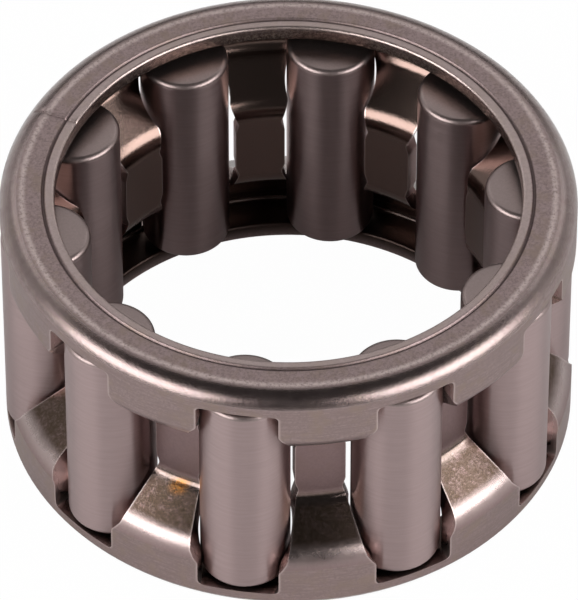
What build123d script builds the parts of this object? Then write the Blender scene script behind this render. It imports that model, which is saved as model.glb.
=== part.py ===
from build123d import *
from math import atan2, cos, radians, sin, tan
import os

# Needle roller and cage assembly: ten rollers held by a one-piece cage of formed sheet steel.
# The origin is the middle of the bearing, on its axis, and +Z runs along the axis.

# --- Driving dimensions, in millimetres and degrees ---

# Rollers, and the shaft that they roll on
shaft_diameter = 22.0
roller_diameter = 5.0
roller_length = 13.8
roller_count = 10
edge_rounding = 0.35  # at both ends of a roller
bevel_width = 0.3  # faint conical band round the flat of each end
bevel_depth = 0.03

# Cage: one strip of sheet, punched, profiled, rolled round, welded and ground outside
rim_width = 1.3  # from the end of the pockets to the end face
cage_clearance = 0.05  # between the cage's outside and the housing bore, on the radius
sheet = 1.0
corner_bend = 0.3  # inside of the bend between outer band and flange
ground_off = 0.11  # taken off the outside after bending, which leaves a fine edge
flange_reach = 3.05  # how far a flange reaches inwards from the cage's outside
lip_width = 0.5  # plain lip between the groove and the flange's bore
lip_rounding = 0.2
groove_width = 0.3
groove_depth = 0.12

# Bars: an outer band at both ends, stepped inwards to a waist that keeps the rollers from falling in
step_height = 2.4  # of the step, along the axis
waist_inset = 0.65  # how far the waist's outside lies inside the circle of the rollers' axes
band_bend = 1.2  # inside of the bend at the band
waist_bend = 0.7  # outside of the bend at the waist, the hollow side

# Pockets, punched in the flat strip. The bars between them keep their square side walls when it is
# rolled round, so a pocket is narrower inside than outside. It is narrow at its ends, so that no
# roller falls out, and at the waist, so that none falls in.
end_play = 0.2  # between a roller's end and the pocket's
outward_hold = 0.17  # by which a pocket's ends are narrower than the roller, on each side, outside
inward_hold = 0.2  # by which its waist is narrower than the roller, on each side, inside
relief = 0.52  # by which it is wider at the top of the step than at its ends, on each side
notch = 0.2  # by which it is wider just inside the step's foot than at the waist, on each side
notch_drop = 0.4  # from the step's foot to the notch, towards the middle
narrow_length = 1.65  # of the narrow stretch at each end
relief_slant = 0.65  # height over which the pocket widens
waist_slant = 0.6  # height over which it closes in from the notch to the waist
pocket_corner = 0.3
guide_play = 0.08  # between a roller and the faces of the bars that are hollowed to guide it

# Butt weld across both rims, beside the middle of a pocket
weld_angle = 147.8
weld_width = 0.12
weld_depth = 0.06

# --- Sizes that follow ---

roller_radius = roller_diameter / 2
pitch_radius = (shaft_diameter + roller_diameter) / 2
cage_radius = pitch_radius + roller_radius - cage_clearance
formed_radius = cage_radius + ground_off
flange_bore = cage_radius - flange_reach
waist_radius = pitch_radius - waist_inset
groove_radius = flange_bore + lip_width + groove_width / 2
roller_angles = [number * 360 / roller_count for number in range(roller_count)]

# Heights above the middle: pocket's end, end face, and the step's top and foot
pocket_end = roller_length / 2 + end_play
half_width = pocket_end + rim_width
band_end = pocket_end - narrow_length - relief_slant
waist_end = band_end - step_height

# Half width and height of each corner of a pocket, from its end to its waist, where its walls
# cross the plane that touches the cage's outside. Nearer to the axis, it narrows by the lean of its
# walls, which are parallel to the middles of the bars beside it.
wall_lean = tan(radians(180 / roller_count))
inner_half = roller_radius - inward_hold
inner_depth = cage_radius - ((waist_radius - sheet) ** 2 - inner_half**2) ** 0.5
notch_height = waist_end - notch_drop
end_half = roller_radius - outward_hold
waist_half = inner_half + inner_depth * wall_lean
pocket_corners = [
    (end_half, pocket_end),
    (end_half, pocket_end - narrow_length),
    (end_half + relief, band_end),
    (waist_half + notch, notch_height),
    (waist_half, notch_height - waist_slant),
]


def radial_plane(angle, distance=0):
    """Upright plane square to the radius at this angle, its own Y upwards and its Z outwards."""
    outwards = Vector(cos(radians(angle)), sin(radians(angle)), 0)
    along = Vector(-sin(radians(angle)), cos(radians(angle)), 0)
    return Plane(origin=outwards * distance, x_dir=along, z_dir=outwards)


def strip_surface(depth):
    """Corners, from the top down, and bends of the surface this far under the sheet's outside.

    The corners of a step move along by depth * tan(slope / 2), which keeps its sheet as thick as the rest.
    """
    slope = atan2(formed_radius - waist_radius, band_end - waist_end)
    shift = depth * tan(slope / 2)
    upper_half = [
        (flange_bore, half_width - depth),
        (formed_radius - depth, half_width - depth),
        (formed_radius - depth, band_end + shift),
        (waist_radius - depth, waist_end + shift),
    ]
    bends = [corner_bend + sheet - depth, band_bend + sheet - depth, waist_bend + depth]
    return upper_half + [(x, -z) for x, z in reversed(upper_half)], bends + bends[::-1]


# --- Cage ---

# Punch for one pocket, narrower towards the axis, which hollows the bars to the roller's curve
with BuildPart() as punch:
    for distance in (waist_radius - 1.5 * sheet, formed_radius + sheet):
        right_side = [(x + (distance - cage_radius) * wall_lean, y) for x, y in pocket_corners]
        right_side += [(x, -y) for x, y in reversed(right_side)]
        left_side = [(-x, y) for x, y in reversed(right_side)]
        with BuildSketch(radial_plane(0, distance)):
            with BuildLine():
                FilletPolyline(*right_side, *left_side, radius=pocket_corner, close=True)
            make_face()
    loft(ruled=True)
    with Locations((pitch_radius, 0, 0)):
        Cylinder(roller_radius + guide_play, 2 * pocket_end)

with BuildPart() as cage:
    # Section of the bent sheet
    with BuildSketch(Plane.XZ) as strip:
        with BuildLine() as strip_outline:
            outside, outside_bends = strip_surface(0)
            inside, inside_bends = strip_surface(sheet)
            FilletPolyline(*outside, radius=outside_bends)
            FilletPolyline(*inside, radius=inside_bends)
            Line(outside[0], inside[0])
            Line(outside[-1], inside[-1])
        make_face()
    revolve(axis=Axis.Z)

    # Rounded edges of both flanges' bores
    cylinders = cage.faces().filter_by(GeomType.CYLINDER)
    flange_walls = cylinders.filter_by(lambda face: abs(face.radius - flange_bore) < lip_rounding / 10)
    fillet(flange_walls.edges().filter_by(GeomType.CIRCLE), lip_rounding)

    # Outside ground to size
    with BuildSketch(Plane.XY.offset(-half_width)) as ground_ring:
        Circle(formed_radius + sheet)
        Circle(cage_radius, mode=Mode.SUBTRACT)
    extrude(amount=2 * half_width, mode=Mode.SUBTRACT)

    # Shallow groove round each end face, beside the lip
    with BuildSketch(Plane.XZ) as groove:
        with Locations((groove_radius, half_width), (groove_radius, -half_width)):
            Ellipse(groove_width / 2, groove_depth)
    revolve(axis=Axis.Z, mode=Mode.SUBTRACT)

    # Pockets, one round each roller
    with PolarLocations(0, roller_count):
        add(punch.part, mode=Mode.SUBTRACT)

    # Fine line of the weld across both rims, outside and on the end faces
    with BuildSketch(radial_plane(weld_angle, flange_bore)) as weld_line:
        with Locations((0, half_width), (0, -half_width)):
            Rectangle(weld_width, 2 * weld_depth)
    extrude(amount=flange_reach + sheet, mode=Mode.SUBTRACT)

cage.part.label = "cage"

# --- Rollers ---

# Half section of a roller, out from its own axis: faint bevel, rounded edge, straight side
roller_end = roller_length / 2
face_radius = roller_radius - edge_rounding - bevel_width
roller_profile = [
    (0, -roller_end),
    (face_radius, -roller_end),
    (roller_radius, -roller_end + bevel_depth),
    (roller_radius, roller_end - bevel_depth),
    (face_radius, roller_end),
    (0, roller_end),
]

rollers = []
for number, angle in enumerate(roller_angles, start=1):
    seat = radial_plane(angle, pitch_radius)
    with BuildPart() as roller:
        with BuildSketch(Plane(origin=seat.origin, x_dir=seat.z_dir, z_dir=-seat.x_dir)) as roller_section:
            with BuildLine() as roller_outline:
                FilletPolyline(*roller_profile, radius=[0, edge_rounding, edge_rounding, 0])
                Line(roller_profile[-1], roller_profile[0])
            make_face()
        revolve(axis=Axis(seat.origin, (0, 0, 1)))
    roller.part.label = f"roller_{number:02d}"
    rollers.append(roller)

# --- Files ---

os.makedirs("parts", exist_ok=True)
for piece in [cage] + rollers:
    export_step(piece.part, f"parts/{piece.part.label}.step")
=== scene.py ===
from math import atan2, cos, pi, radians, sin, tan

import bpy
import numpy as np
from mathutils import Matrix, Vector


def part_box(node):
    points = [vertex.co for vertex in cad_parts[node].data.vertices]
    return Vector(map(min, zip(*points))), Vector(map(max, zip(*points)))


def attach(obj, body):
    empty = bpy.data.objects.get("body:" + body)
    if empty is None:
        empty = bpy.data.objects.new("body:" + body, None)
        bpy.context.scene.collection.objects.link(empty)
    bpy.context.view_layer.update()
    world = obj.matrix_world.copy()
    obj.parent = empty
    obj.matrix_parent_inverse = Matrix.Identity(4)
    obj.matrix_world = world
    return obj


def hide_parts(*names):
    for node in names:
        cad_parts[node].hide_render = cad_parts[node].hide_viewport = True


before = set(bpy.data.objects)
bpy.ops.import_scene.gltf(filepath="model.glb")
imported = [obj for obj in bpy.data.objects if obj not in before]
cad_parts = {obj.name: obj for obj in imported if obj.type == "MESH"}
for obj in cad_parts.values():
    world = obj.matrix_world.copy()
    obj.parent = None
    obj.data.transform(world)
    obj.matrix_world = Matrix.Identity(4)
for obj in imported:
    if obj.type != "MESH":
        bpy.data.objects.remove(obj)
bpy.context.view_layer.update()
scene = bpy.context.scene

# === Cage ===
# One strip of sheet steel, 1 mm thick, punched with ten pockets and stepped inwards to a waist between its
# outer bands. Both edges are flanged inwards, and the strip is rolled round, welded, tumbled and ground.

mm = 0.001
cage_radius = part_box("cage")[1].x
half_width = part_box("cage")[1].z
pitch_radius = (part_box("roller_01")[0].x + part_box("roller_01")[1].x) / 2

# The sheet's section: bends to the outside of the sheet, then the flange with its lip and groove
sheet = 1.0 * mm
corner_bend = 1.3 * mm
band_bend = 2.2 * mm
waist_bend = 0.7 * mm
ground_off = 0.11 * mm
flange_reach = 3.05 * mm
lip_rounding = 0.2 * mm
lip_width = 0.5 * mm
groove_width = 0.3 * mm
groove_depth = 0.12 * mm

# Lengths along the axis, from the end face to the waist, and how far the waist lies inside the band
rim_width = 1.3 * mm
narrow_length = 1.65 * mm
relief_slant = 0.65 * mm
step_height = 2.4 * mm
notch_drop = 0.4 * mm
waist_slant = 0.6 * mm
waist_step = 3.1 * mm

# Pockets: half their width at each corner from end to waist, and the hollow that guides a roller
pocket_count = 10
end_half, relief_half, notch_half, waist_half = 2.33 * mm, 2.85 * mm, 3.905 * mm, 3.705 * mm
pocket_corner = 0.3 * mm
guide_radius = 2.58 * mm
edge_rounding = 0.05 * mm

# Butt weld across both rims
weld_angle = radians(147.8)
weld_width = 0.12 * mm
weld_depth = 0.06 * mm

# Fineness of the mesh, a gap smaller than any in it, and how far its other columns keep from the weld, as
# a share of half a pocket's width
longest_edge = 0.12 * mm
hair = 0.001 * mm
weld_margin = 0.15

# Sizes that follow
formed_radius = cage_radius + ground_off
flange_bore = cage_radius - flange_reach
waist_radius = cage_radius - waist_step
groove_radius = flange_bore + lip_width + groove_width / 2
pocket_end = half_width - rim_width
band_end = pocket_end - narrow_length - relief_slant
waist_end = band_end - step_height
slope = atan2(formed_radius - waist_radius, step_height)
notch_height = waist_end - notch_drop


def bend(centre, radius, angles):
    """Rows (x, z, normal x, normal z) of an arc: normal (cos a, sin a), point centre + radius * normal."""
    normals = np.stack([np.cos(angles), np.sin(angles)], 1)
    return np.hstack([np.array(centre) + radius * normals, normals])


def refined(rows, step):
    """The same rows with others between them on straight lines, none further apart than step."""
    lengths = np.hypot(*np.diff(rows[:, :2], axis=0).T)
    counts = np.maximum(np.ceil(lengths / step), 1).astype(int)
    starts = np.cumsum(counts) - counts
    share = (np.arange(counts.sum()) - np.repeat(starts, counts)) / np.repeat(counts, counts)
    fine = np.append(np.repeat(np.arange(len(counts)), counts) + share, len(counts))
    return np.stack([np.interp(fine, np.arange(len(rows)), column) for column in rows.T], 1)


def pocket_half(heights):
    """Half a pocket's width at these heights: straight from corner to corner, each rounded by an arc."""
    corners = np.array([
        (end_half, pocket_end),
        (end_half, pocket_end - narrow_length),
        (relief_half, band_end),
        (notch_half, notch_height),
        (waist_half, notch_height - waist_slant),
        (waist_half, 0),
    ])
    end_angles = np.linspace(pi / 2, 0, 9)
    end_centre = (end_half - pocket_corner, pocket_end - pocket_corner)
    outline = [bend(end_centre, pocket_corner, end_angles)[:, :2]]
    for before, corner, after in zip(corners, corners[1:], corners[2:]):
        arrive = atan2(*(corner - before)[::-1])
        leave = atan2(*(after - corner)[::-1])
        side = np.sign(leave - arrive)
        reach = pocket_corner * tan(abs(leave - arrive) / 2)
        start = corner - reach * np.array([cos(arrive), sin(arrive)])
        centre = start + side * pocket_corner * np.array([-sin(arrive), cos(arrive)])
        outline.append(bend(centre, -side * pocket_corner, np.linspace(arrive, leave, 7) + pi / 2)[:, :2])
    widths, levels = np.vstack(outline + [corners[-1:]]).T
    return np.interp(np.abs(heights), levels[::-1], widths[::-1])


# Outside of the strip's upper half as it is bent, from the lip to the middle of the waist
corner_centre = (formed_radius - corner_bend, half_width - corner_bend)
band_centre = (formed_radius - band_bend, band_end + band_bend * tan(slope / 2))
corner_crease = np.arccos(1 - ground_off / corner_bend)
band_crease = -np.arccos(1 - ground_off / band_bend)
waist_centre = (waist_radius + waist_bend, waist_end - waist_bend * tan(slope / 2))
groove_rows = groove_radius + groove_width / 2 * np.linspace(-1, 1, 13)
corner_rows = pocket_end - pocket_corner * (1 - np.cos(np.linspace(0, pi / 2, 8)[1:]))
formed = refined(np.vstack([
    [(flange_bore + lip_rounding, half_width, 0, 1)],
    [(radius, half_width, 0, 1) for radius in groove_rows],
    bend(corner_centre, corner_bend, np.union1d(np.linspace(0, pi / 2, 19), corner_crease)[::-1]),
    [(formed_radius, height, 1, 0) for height in corner_rows],
    bend(band_centre, band_bend, np.union1d(np.linspace(-slope, 0, 17), band_crease)[::-1]),
    bend(waist_centre, -waist_bend, np.linspace(-slope, 0, 9)),
    [(waist_radius, 0, 1, 0)],
]), longest_edge)

# The lip is rounded alike on both sides. Elsewhere the inside lies one sheet's thickness under the outside.
lip_centre = (flange_bore + lip_rounding, half_width - lip_rounding)
lip = bend(lip_centre, lip_rounding, np.linspace(pi, pi / 2, 9)[:-1])
outside = np.vstack([lip, formed])
inside = np.vstack([lip * (1, -1, 1, -1) + (0, 2 * half_width - sheet, 0, 0), formed])
inside[len(lip):, :2] -= sheet * formed[:, 2:]
inside[len(lip):, 2:] *= -1
outside[:, 0] = np.minimum(outside[:, 0], cage_radius)
groove_share = np.clip(np.abs(outside[:, 0] - groove_radius) / (groove_width / 2), 0, 1)
outside[:, 1] -= groove_depth * np.cos(groove_share * pi / 2) ** 2 * (outside[:, 3] == 1)


def both_halves(half):
    """The rows of the upper half and their mirror image below the middle."""
    return np.vstack([half, half[-2::-1] * (1, -1, 1, -1)])


# The rows run down the outside and back up the inside, and row i lies across the sheet from row -1 - i
outside, inside = both_halves(outside), both_halves(inside)
rows = np.vstack([outside, inside[::-1]])
row_count = len(rows)
first, last = np.flatnonzero(np.abs(outside[:, 1]) < pocket_end + hair)[[0, -1]]
nearest_in_pocket = np.clip(np.arange(len(outside)), first, last)
nearest_in_pocket = np.append(nearest_in_pocket, row_count - 1 - nearest_in_pocket[::-1])
bar_half = (cage_radius * tan(pi / pocket_count) - pocket_half(rows[:, 1])) * cos(pi / pocket_count)
half_turns = pi / pocket_count - np.arcsin(bar_half / rows[:, 0])
guide = (rows[:, 0] ** 2 + pitch_radius**2 - guide_radius**2) / (2 * rows[:, 0] * pitch_radius)
half_turns = np.maximum(half_turns, np.arccos(np.clip(guide, -1, 1)))[nearest_in_pocket]

# Columns: across each pocket as a share of its half width, then across the bar beside it as a share of it
weld_sector = round(weld_angle * pocket_count / (2 * pi))
weld_share = (weld_angle - weld_sector * 2 * pi / pocket_count) / half_turns[first]
weld_columns = weld_share + np.linspace(-1, 1, 7) * weld_width / cage_radius / half_turns[first]
columns = []
for sector in range(pocket_count):
    across = np.linspace(-1, 1, 9)
    if sector == weld_sector:
        across = np.union1d(across[np.abs(across - weld_share) > weld_margin], weld_columns)
    columns += [(sector, share, 0) for share in across]
    columns += [(sector, 1, share) for share in np.linspace(0, 1, 11)[1:-1]]
sectors, pocket_shares, bar_shares = np.array(columns).T
pocket_turn = 2 * pi / pocket_count
turns = sectors * pocket_turn + pocket_shares * half_turns[:, None]
turns = turns + bar_shares * (pocket_turn - 2 * half_turns[:, None])

# A point lies at its row's radius, turned by its column's angle. The weld is a furrow in the end faces.
radii, heights = rows.T[:2, :, None]
furrow = weld_depth * np.exp(-((turns - weld_angle) * radii / (weld_width / 2)) ** 2)
heights = heights - furrow * (np.abs(heights) > half_width - groove_depth - weld_depth) * np.sign(heights)
cage_points = np.stack([radii * np.cos(turns), radii * np.sin(turns), heights], -1)

# Faces join each row and column to the next, but for those inside a pocket; walls join its two outlines
column_count = len(columns)
grid = np.arange(row_count * column_count).reshape(row_count, column_count)
next_row = np.roll(grid, -1, axis=0)
quads = np.stack([grid, next_row, np.roll(next_row, -1, axis=1), np.roll(grid, -1, axis=1)], -1)
across_pocket = (bar_shares == 0) & (np.roll(bar_shares, -1) == 0)
down_pocket = np.zeros(row_count, bool)
down_pocket[first:last] = down_pocket[row_count - 1 - last:row_count - 1 - first] = True
kept = ~(down_pocket[:, None] & across_pocket)
faces = [quads[kept]]
opposite = grid[::-1]
for edge, order in ((-1, 1), (1, -1)):
    sides = np.flatnonzero((pocket_shares == edge) & (bar_shares == 0))
    wall = np.stack([
        grid[first:last, sides], grid[first + 1:last + 1, sides],
        opposite[first + 1:last + 1, sides], opposite[first:last, sides],
    ], -1)
    faces.append(wall.reshape(-1, 4)[:, ::order])
starts = np.flatnonzero(across_pocket)
for row, order in ((first, 1), (last, -1)):
    wall = np.stack([
        grid[row, starts + 1], grid[row, starts], opposite[row, starts], opposite[row, starts + 1],
    ], -1)
    faces.append(wall[:, ::order])
faces = np.vstack(faces)


def add_piece(name, points, faces):
    """A new object with these points and faces, shaded smooth all over."""
    mesh = bpy.data.meshes.new(name)
    mesh.from_pydata(points.tolist(), [], faces)
    mesh.shade_smooth()
    piece = bpy.data.objects.new(name, mesh)
    scene.collection.objects.link(piece)
    return piece


# Points that no face uses are left out. Two marks on the points tell the material where it is.
used, faces = np.unique(faces, return_inverse=True)
cage = add_piece("cage_ring", cage_points.reshape(-1, 3)[used], faces.reshape(-1, 4).tolist())
on_inside = np.broadcast_to(np.arange(row_count)[:, None] >= len(outside), grid.shape)
beside_pocket = (np.abs(pocket_shares) == 1) & (bar_shares == 0)
on_outline = beside_pocket & (np.abs(rows[:, 1:2]) < pocket_end + hair)
for name, values in (("inner_side", on_inside), ("pocket_edge", on_outline)):
    attribute = cage.data.attributes.new(name, "FLOAT", "POINT")
    attribute.data.foreach_set("value", values.ravel()[used].astype(np.float32))

# The punched edges are rounded by tumbling
rounded = cage.modifiers.new("edge_rounding", "BEVEL")
rounded.width = edge_rounding
rounded.segments = 2
rounded.limit_method = "ANGLE"
rounded.angle_limit = radians(50)
rounded.harden_normals = True


class Wire:
    """A socket in a material. An operator on wires and numbers adds the Math node that works it out."""

    def __init__(self, tree, socket=None):
        self.tree = tree
        self.socket = socket

    def node(self, kind, settings, inputs, output=0):
        """Adds a node of this kind: first its settings, then the values or wires of its sockets."""
        added = self.tree.nodes.new(kind)
        for name, value in settings.items():
            setattr(added, name, value)
        for name, value in inputs.items():
            if isinstance(value, Wire):
                self.tree.links.new(value.socket, added.inputs[name])
            else:
                added.inputs[name].default_value = value
        return Wire(self.tree, added.outputs[output])

    def math(self, operation, *values):
        """A Math node that works on these values and wires."""
        return self.node("ShaderNodeMath", {"operation": operation}, dict(enumerate(values)))

    def __add__(self, other):
        return self.math("ADD", self, other)

    def __radd__(self, other):
        return self.math("ADD", other, self)

    def __sub__(self, other):
        return self.math("SUBTRACT", self, other)

    def __rsub__(self, other):
        return self.math("SUBTRACT", other, self)

    def __mul__(self, other):
        return self.math("MULTIPLY", self, other)

    def __rmul__(self, other):
        return self.math("MULTIPLY", other, self)

    def absolute(self):
        return self.math("ABSOLUTE", self)

    def root(self):
        return self.math("SQRT", self)

    def other(self, output):
        """Another output of the node that this wire comes from."""
        return Wire(self.tree, self.socket.node.outputs[output])

    def between(self, start, end):
        """0 up to start and 1 from end, with a smooth rise, or a fall if end is the lower."""
        low, high, rise = min(start, end), max(start, end), start < end
        return self.node(
            "ShaderNodeMapRange",
            {"interpolation_type": "SMOOTHSTEP"},
            {"Value": self, "From Min": low, "From Max": high, "To Min": 1 - rise, "To Max": rise},
        )

    def near(self, value, reach):
        """1 at this value, falling to 0 at this reach on both sides of it."""
        return (self - value).absolute().between(reach, 0)

    def mixed(self, share, other):
        """This colour with a share of another."""
        return self.node("ShaderNodeMix", {"data_type": "RGBA"}, {0: share, 6: self, 7: other}, 2)

    def tinted(self, low, high):
        """The colour that goes from low to high as this value goes from 0 to 1."""
        return self.node("ShaderNodeMix", {"data_type": "RGBA"}, {0: self, 6: low, 7: high}, 2)

    def stretched(self, x, y, z):
        """These coordinates, each times its own factor."""
        return self.node("ShaderNodeVectorMath", {"operation": "MULTIPLY"}, {0: self, 1: (x, y, z)})

    def embossed(self, depth):
        """The normal of a surface that this value raises by up to this depth."""
        return self.node("ShaderNodeBump", {}, {"Strength": 1.0, "Distance": depth, "Height": self})

    def noise(self, scale, detail, roughness=0.5):
        """Cloudy values about 0.5 over these coordinates, scale spots to each unit of length."""
        values = {"Vector": self, "Scale": scale, "Detail": detail, "Roughness": roughness}
        return self.node("ShaderNodeTexNoise", {}, values)


def add_material(name):
    """A new material: its shader, and a wire with the place on the piece in millimetres."""
    material = bpy.data.materials.new(name)
    material.use_nodes = True
    wires = Wire(material.node_tree)
    place = wires.node("ShaderNodeTexCoord", {}, {}, 3)
    place = place.node("ShaderNodeVectorMath", {"operation": "SCALE"}, {0: place, "Scale": 1000.0})
    return material, material.node_tree.nodes["Principled BSDF"], place


def feed(shader, **sockets):
    """Joins wires to the shader's sockets, and writes what is not a wire on them."""
    for name, value in sockets.items():
        socket = shader.inputs[name.replace("_", " ").title()]
        if isinstance(value, Wire):
            value.tree.links.new(value.socket, socket)
        else:
            socket.default_value = value


# Colours of the cage's finishes, of its painted highlights and painted shade, and where a rust spot sits,
# in millimetres
steel = (0.37, 0.279, 0.275, 1)
dark_steel = (0.25, 0.188, 0.18, 1)
painted_highlight_steel = (0.60, 0.49, 0.465, 1)
ground_steel = (0.27, 0.202, 0.192, 1)
corner_dark_reflection_steel = (0.20, 0.15, 0.14, 1)
waist_steel = (0.22, 0.143, 0.142, 1)
bend_highlight_steel = (0.45, 0.37, 0.35, 1)
bore_highlight_steel = (0.66, 0.53, 0.45, 1)
brown_and_shaded_inner_steel = (0.20, 0.138, 0.118, 1)
stained_steel = (0.30, 0.225, 0.19, 1)
brown_steel = (0.09, 0.062, 0.045, 1)
stain_and_shade_steel = (0.05, 0.035, 0.031, 1)
groove_dirt_and_shade = (0.07, 0.05, 0.05, 1)
rust = (0.30, 0.13, 0.035, 1)
rust_place = (-7.52, -10.85, -2.85)

material, shader, place = add_material("tumbled_strip_steel")
x = place.node("ShaderNodeSeparateXYZ", {}, {"Vector": place})
y = x.other("Y")
z = x.other("Z") * mm
radius = (x * x + y * y).root() * mm
height = z.absolute()
grain = place.noise(6.0, 4.0, 0.75)
cloud = place.noise(0.5, 2.0)
blotches = place.noise(1.6, 4.0, 0.65)
rubbed = place.stretched(0.7, 0.7, 11.0).noise(1.0, 3.0, 0.6)
inner = place.node("ShaderNodeAttribute", {"attribute_name": "inner_side"}, {}, 2)
pocket_edge = place.node("ShaderNodeAttribute", {"attribute_name": "pocket_edge"}, {}, 2).between(0.7, 1.0)

# Masks of the rims: ground outside, end face, burnished ring with a painted highlight, outer corner,
# groove, lip and upper bore
ground = radius.between(cage_radius - 0.025 * mm, cage_radius - 0.005 * mm)
face = height.between(half_width - 0.25 * mm, half_width - 0.05 * mm)
ring = radius.near(corner_centre[0] - 0.05 * mm, 0.28 * mm) * face
corner = radius.between(corner_centre[0] + 0.1 * mm, corner_centre[0] + 0.35 * mm)
corner = corner * height.between(pocket_end - 0.1 * mm, pocket_end + 0.1 * mm) * (1 - ground)
groove = radius.near(groove_radius, groove_width / 2)
groove = groove * height.between(half_width - 0.3 * mm, half_width - 0.1 * mm)
lip_face = radius.between(groove_radius - 0.1 * mm, groove_radius - 0.2 * mm) * face
bore = radius.between(flange_bore + 0.16 * mm, flange_bore + 0.08 * mm)
bore = bore * z.between(pocket_end, pocket_end + 0.2 * mm)

# Masks of the bars: all but the ground bands, the step, its bend at the band and at the waist, and rust
bar = height.between(pocket_end - 0.3 * mm, pocket_end - 0.8 * mm) * (1 - ground)
step = radius.between(cage_radius - 0.25 * mm, cage_radius - 1.1 * mm)
step = step * height.between(waist_end - 0.4 * mm, waist_end + 0.1 * mm) * bar
bent = radius.near(cage_radius - 0.45 * mm, 0.6 * mm) * bar
hollow = radius.near(waist_radius + 0.25 * mm, 0.4 * mm) * height.near(waist_end + 0.25 * mm, 0.7 * mm)
rusty = place.node("ShaderNodeVectorMath", {"operation": "DISTANCE"}, {0: place, 1: rust_place}, 1)
rusty = (rusty + 1.2 * cloud).between(1.45, 0.9) * grain.between(0.3, 0.55)

# Colour, from the tumbled steel all over to what lies on top of it, painted highlights and painted shade
# among them
colour = grain.between(0.32, 0.62).tinted(dark_steel, steel)
colour = colour.mixed(ground * (0.3 + 0.7 * rubbed.between(0.36, 0.64)), ground_steel)
colour = colour.mixed((cloud * blotches).between(0.2, 0.4) * 0.7 * (1 - ring), stained_steel)
# Painted highlight: the burnished ring where the end face meets the corner is made lighter
colour = colour.mixed(ring * grain.between(0.25, 0.6) * 0.9, painted_highlight_steel)
# Painted reflection: the outer corner is darkened all round, standing in for the dark that it mirrors
colour = colour.mixed(corner * grain.between(0.3, 0.7), corner_dark_reflection_steel)
colour = colour.mixed(bar * (0.75 + 0.15 * step), waist_steel)
colour = colour.mixed(step * (1 - 0.5 * (grain * blotches).between(0.16, 0.44)), brown_steel)
# Painted highlight: light specks on the grain of the corner and the step
colour = colour.mixed((0.25 * corner + 0.1 * step) * grain.between(0.46, 0.72), painted_highlight_steel)
# The outer bend to the band is burnished and lighter still as a painted highlight; the hollow at the waist
# gets a painted highlight only
colour = colour.mixed((bent + 0.4 * hollow) * (1 - inner) * 0.6, bend_highlight_steel)
# The inside of the strip is brown, and darkened further as painted shade
colour = colour.mixed(inner * 0.9, brown_and_shaded_inner_steel)
# The inside of the rims is stained, and darkened almost to black as painted shade
colour = colour.mixed(inner * (1 - bar) * 0.85, stain_and_shade_steel)
colour = colour.mixed(rusty, rust)
# The punched pocket edges are burnished, and lighter still as a painted highlight
colour = colour.mixed(pocket_edge * 0.6, painted_highlight_steel)
# Painted highlight: light speckles round the upper flange's bore only, the lower bore left without them as
# if in shade
colour = colour.mixed(bore * grain.between(0.4, 0.65) * 0.5, bore_highlight_steel)
# The groove is darkened by dirt and by painted shade
colour = colour.mixed(groove * 0.8, groove_dirt_and_shade)
# Painted highlight: the flat lip inside the groove is made lighter
colour = colour.mixed(lip_face * 0.45, painted_highlight_steel)

# Roughness, the fine unevenness of the surface, and a film of oil on its bends
roughness = 0.42 - 0.21 * corner - 0.08 * ring - 0.18 * step - 0.1 * inner - 0.14 * bore
roughness = roughness - 0.16 * (bent + hollow * (1 - inner))
roughness = roughness + (0.3 * bent + 0.15 * corner) * (blotches - 0.4) + 0.1 * ground * (blotches - 0.3)
coarseness = 1 + 0.6 * bore + 0.1 * corner - 0.8 * bar + 0.3 * step + 0.4 * bent - 0.9 * ground
bumps = grain * (coarseness + 0.8 * inner * hollow) + 0.2 * ground * rubbed
oil = 0.7 * (corner + bent) * blotches.between(0.3, 0.6)
normal = bumps.embossed(0.013 * mm)
feed(shader, base_color=colour, roughness=roughness, metallic=1.0, normal=normal)
feed(shader, coat_weight=oil, coat_roughness=0.14)
cage.data.materials.append(material)

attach(cage, "cage")
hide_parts("cage")

# === Rollers ===
# Ten solid cylinders of hardened steel, ground all over, with rounded edges and a faint bevel round each
# flat end. They lie loose in the pockets, and here each stands where it runs.

roller_low, roller_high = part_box("roller_01")
roller_radius = (roller_high.y - roller_low.y) / 2
roller_end = roller_high.z
roller_rounding = 0.35 * mm
bevel_width = 0.3 * mm
bevel_depth = 0.03 * mm
face_radius = roller_radius - roller_rounding - bevel_width
middle_radius = 0.2 * mm
row_gap = 0.03 * mm
honed_from = 0.05 * mm
longest_roller_edge = 0.45 * mm
roller_sides = 96

# Section of a roller as radius and height: the half from near the upper pole down to half its length, with
# a row close under the rounding that keeps the side's shading straight, and then its mirror image
side_top = roller_end - bevel_depth - roller_rounding
half_section = refined(np.vstack([
    [(middle_radius, roller_end, 0, 1), (face_radius, roller_end, 0, 1)],
    bend((roller_radius - roller_rounding, side_top), roller_rounding, np.linspace(pi / 2, 0, 12)),
    [(roller_radius, side_top - row_gap, 1, 0), (roller_radius, 0, 1, 0)],
]), longest_roller_edge)[:, :2]
section = np.vstack([half_section, half_section[-2::-1] * (1, -1)])
roller_turns = np.arange(roller_sides) * 2 * pi / roller_sides
circle = np.stack([np.cos(roller_turns), np.sin(roller_turns)], 1)
roller_points = np.concatenate([
    section[:, None, :1] * circle,
    np.broadcast_to(section[:, None, 1:], (len(section), roller_sides, 1)),
], 2).reshape(-1, 3)
roller_points = np.vstack([roller_points, [(0, 0, roller_end), (0, 0, -roller_end)]])
roller_grid = np.arange(len(section) * roller_sides).reshape(-1, roller_sides)
roller_next = np.roll(roller_grid, -1, axis=1)
roller_faces = np.stack([roller_grid[:-1], roller_grid[1:], roller_next[1:], roller_next[:-1]], -1)
roller_faces = roller_faces.reshape(-1, 4).tolist()
top = np.full(roller_sides, roller_grid.size)
bottom = top + 1
roller_faces += np.stack([roller_grid[0], roller_next[0], top], 1).tolist()
roller_faces += np.stack([roller_next[-1], roller_grid[-1], bottom], 1).tolist()

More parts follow.
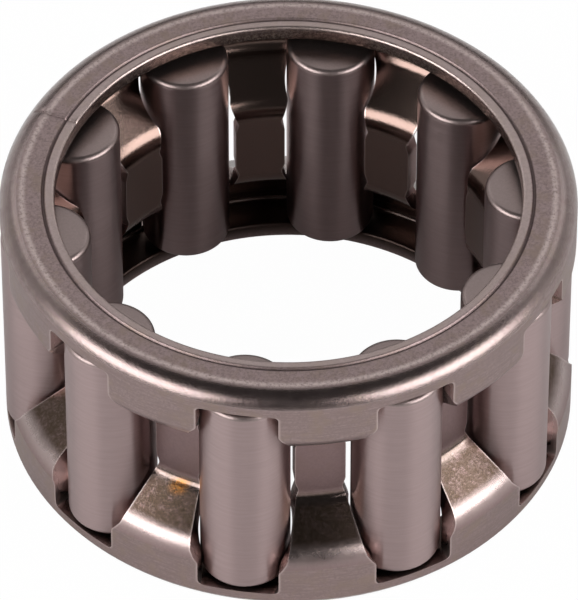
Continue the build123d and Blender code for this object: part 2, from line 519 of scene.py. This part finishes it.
side_material, shader, place = add_material("ground_roller_steel")
lines = place.stretched(0.4, 0.4, 6.0).noise(1.0, 4.0, 0.6)
colour = lines.tinted((0.32, 0.24, 0.235, 1), (0.43, 0.325, 0.32, 1))
normal = lines.embossed(0.0015 * mm)
feed(shader, base_color=colour, roughness=0.27 + 0.1 * lines, metallic=1.0, normal=normal)
feed(shader, anisotropic=0.92, anisotropic_rotation=0.25)

end_material, shader, place = add_material("honed_roller_end")
pores = place.noise(7.0, 3.0, 0.7)
colour = pores.tinted((0.24, 0.19, 0.18, 1), (0.36, 0.28, 0.27, 1))
normal = pores.embossed(0.004 * mm)
feed(shader, base_color=colour, roughness=0.30 + 0.12 * pores, metallic=1.0, normal=normal)

# A face is honed if both of its rows lie this far above the straight side, as do all those at the poles
on_end = np.abs(section[:, 1]) > side_top + honed_from
on_end = np.append(np.repeat(on_end[:-1] & on_end[1:], roller_sides), np.ones(2 * roller_sides, bool))

for number in range(1, pocket_count + 1):
    turn = (number - 1) * 2 * pi / pocket_count
    axis = pitch_radius * np.array([cos(turn), sin(turn), 0])
    roller = add_piece(f"roller_{number:02d}_steel", roller_points + axis, roller_faces)
    roller.data.materials.append(side_material)
    roller.data.materials.append(end_material)
    roller.data.polygons.foreach_set("material_index", on_end.astype(np.int32))
    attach(roller, f"roller_{number:02d}")
    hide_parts(f"roller_{number:02d}")

# === Camera, floor and light ===
# A long lens looks down at the bearing, which stands on a plain white floor. A broad soft lamp stands at
# each side of the camera, a fainter one farther round at each side, and one more behind the bearing.

camera_azimuth = radians(-7.84)
camera_elevation = radians(46.1)
camera_distance = 0.4396


def direction(azimuth, elevation):
    """Unit vector from the bearing, its azimuth counted from the camera's side round to the right."""
    turn = camera_azimuth + azimuth
    return Vector((sin(turn) * cos(elevation), -cos(turn) * cos(elevation), sin(elevation)))


def place_facing(name, data, azimuth, elevation, distance):
    """Adds a camera or lamp at that place, looking at the bearing."""
    thing = bpy.data.objects.new(name, data)
    scene.collection.objects.link(thing)
    thing.location = direction(azimuth, elevation) * distance
    thing.rotation_mode = "QUATERNION"
    thing.rotation_quaternion = (-direction(azimuth, elevation)).to_track_quat("-Z", "Y")
    return thing


scene.camera = place_facing("camera", bpy.data.cameras.new("camera"), 0, camera_elevation, camera_distance)
scene.camera.data.sensor_width = 36
scene.camera.data.lens = 472.3
scene.camera.data.shift_x = 0.0008
scene.camera.data.shift_y = -0.006

lamp_distance = 0.5
for name, azimuth, elevation, width, height, radiance in (
    ("left_lamp", -57, 31, 0.46, 0.26, 4.9),
    ("right_lamp", 59, 31, 0.46, 0.26, 4.9),
    ("rear_lamp", 180, 48, 0.7, 0.3, 0.8),
    ("left_side_lamp", -115, 32, 0.65, 0.4, 0.45),
    ("right_side_lamp", 115, 32, 0.65, 0.4, 0.45),
):
    lamp = bpy.data.lights.new(name, "AREA")
    lamp.shape = "RECTANGLE"
    lamp.size = width
    lamp.size_y = height
    lamp.energy = radiance * pi * width * height
    place_facing(name, lamp, radians(azimuth), radians(elevation), lamp_distance)

world = bpy.data.worlds.new("studio")
scene.world = world
world.use_nodes = True

# The camera sees plain white. The bearing is lit and mirrored by a faint glow, strongest at the horizon.
ray = Wire(world.node_tree).node("ShaderNodeTexCoord", {}, {})
rise = ray.node("ShaderNodeSeparateXYZ", {}, {"Vector": ray}).other("Z")
seen = ray.node("ShaderNodeLightPath", {}, {})
glow = 0.06 + (0.34 + 0.5 * seen.other("Is Glossy Ray")) * rise.between(0.35, 0.0)
sky = glow.math("MAXIMUM", glow, seen + seen.other("Is Transmission Ray"))
background = world.node_tree.nodes["Background"]
background.inputs["Color"].default_value = (1, 1, 1, 1)
world.node_tree.links.new(sky.socket, background.inputs["Strength"])

# The floor lies close under the bearing. It shows the same white, but for a small share with the shadow.
floor_side = 3.0
floor_gap = 0.01 * mm
floor_level = -half_width - floor_gap
floor_mesh = bpy.data.meshes.new("floor")
floor_corners = floor_side / 2 * np.array([(-1, -1, 0), (1, -1, 0), (1, 1, 0), (-1, 1, 0)])
floor_corners[:, 2] = floor_level
floor_mesh.from_pydata(floor_corners.tolist(), [], [(0, 1, 2, 3)])
floor = bpy.data.objects.new("floor", floor_mesh)
scene.collection.objects.link(floor)
material = bpy.data.materials.new("white_floor")
material.use_nodes = True
tree = material.node_tree
shader = tree.nodes["Principled BSDF"]
shader.inputs["Base Color"].default_value = (0.9, 0.9, 0.9, 1)
shader.inputs["Roughness"].default_value = 0.9
wires = Wire(tree)
seen = wires.node("ShaderNodeLightPath", {}, {})
white = wires.node("ShaderNodeEmission", {}, {"Color": (1, 1, 1, 1), "Strength": 1.0})
share = 0.985 * (seen + seen.other("Is Transmission Ray")) + 0.05 * seen.other("Is Glossy Ray")
mixed = wires.node("ShaderNodeMixShader", {}, {0: share, 1: Wire(tree, shader.outputs[0]), 2: white})
tree.links.new(mixed.socket, tree.nodes["Material Output"].inputs["Surface"])
floor_mesh.materials.append(material)

scene.view_settings.view_transform = "Standard"
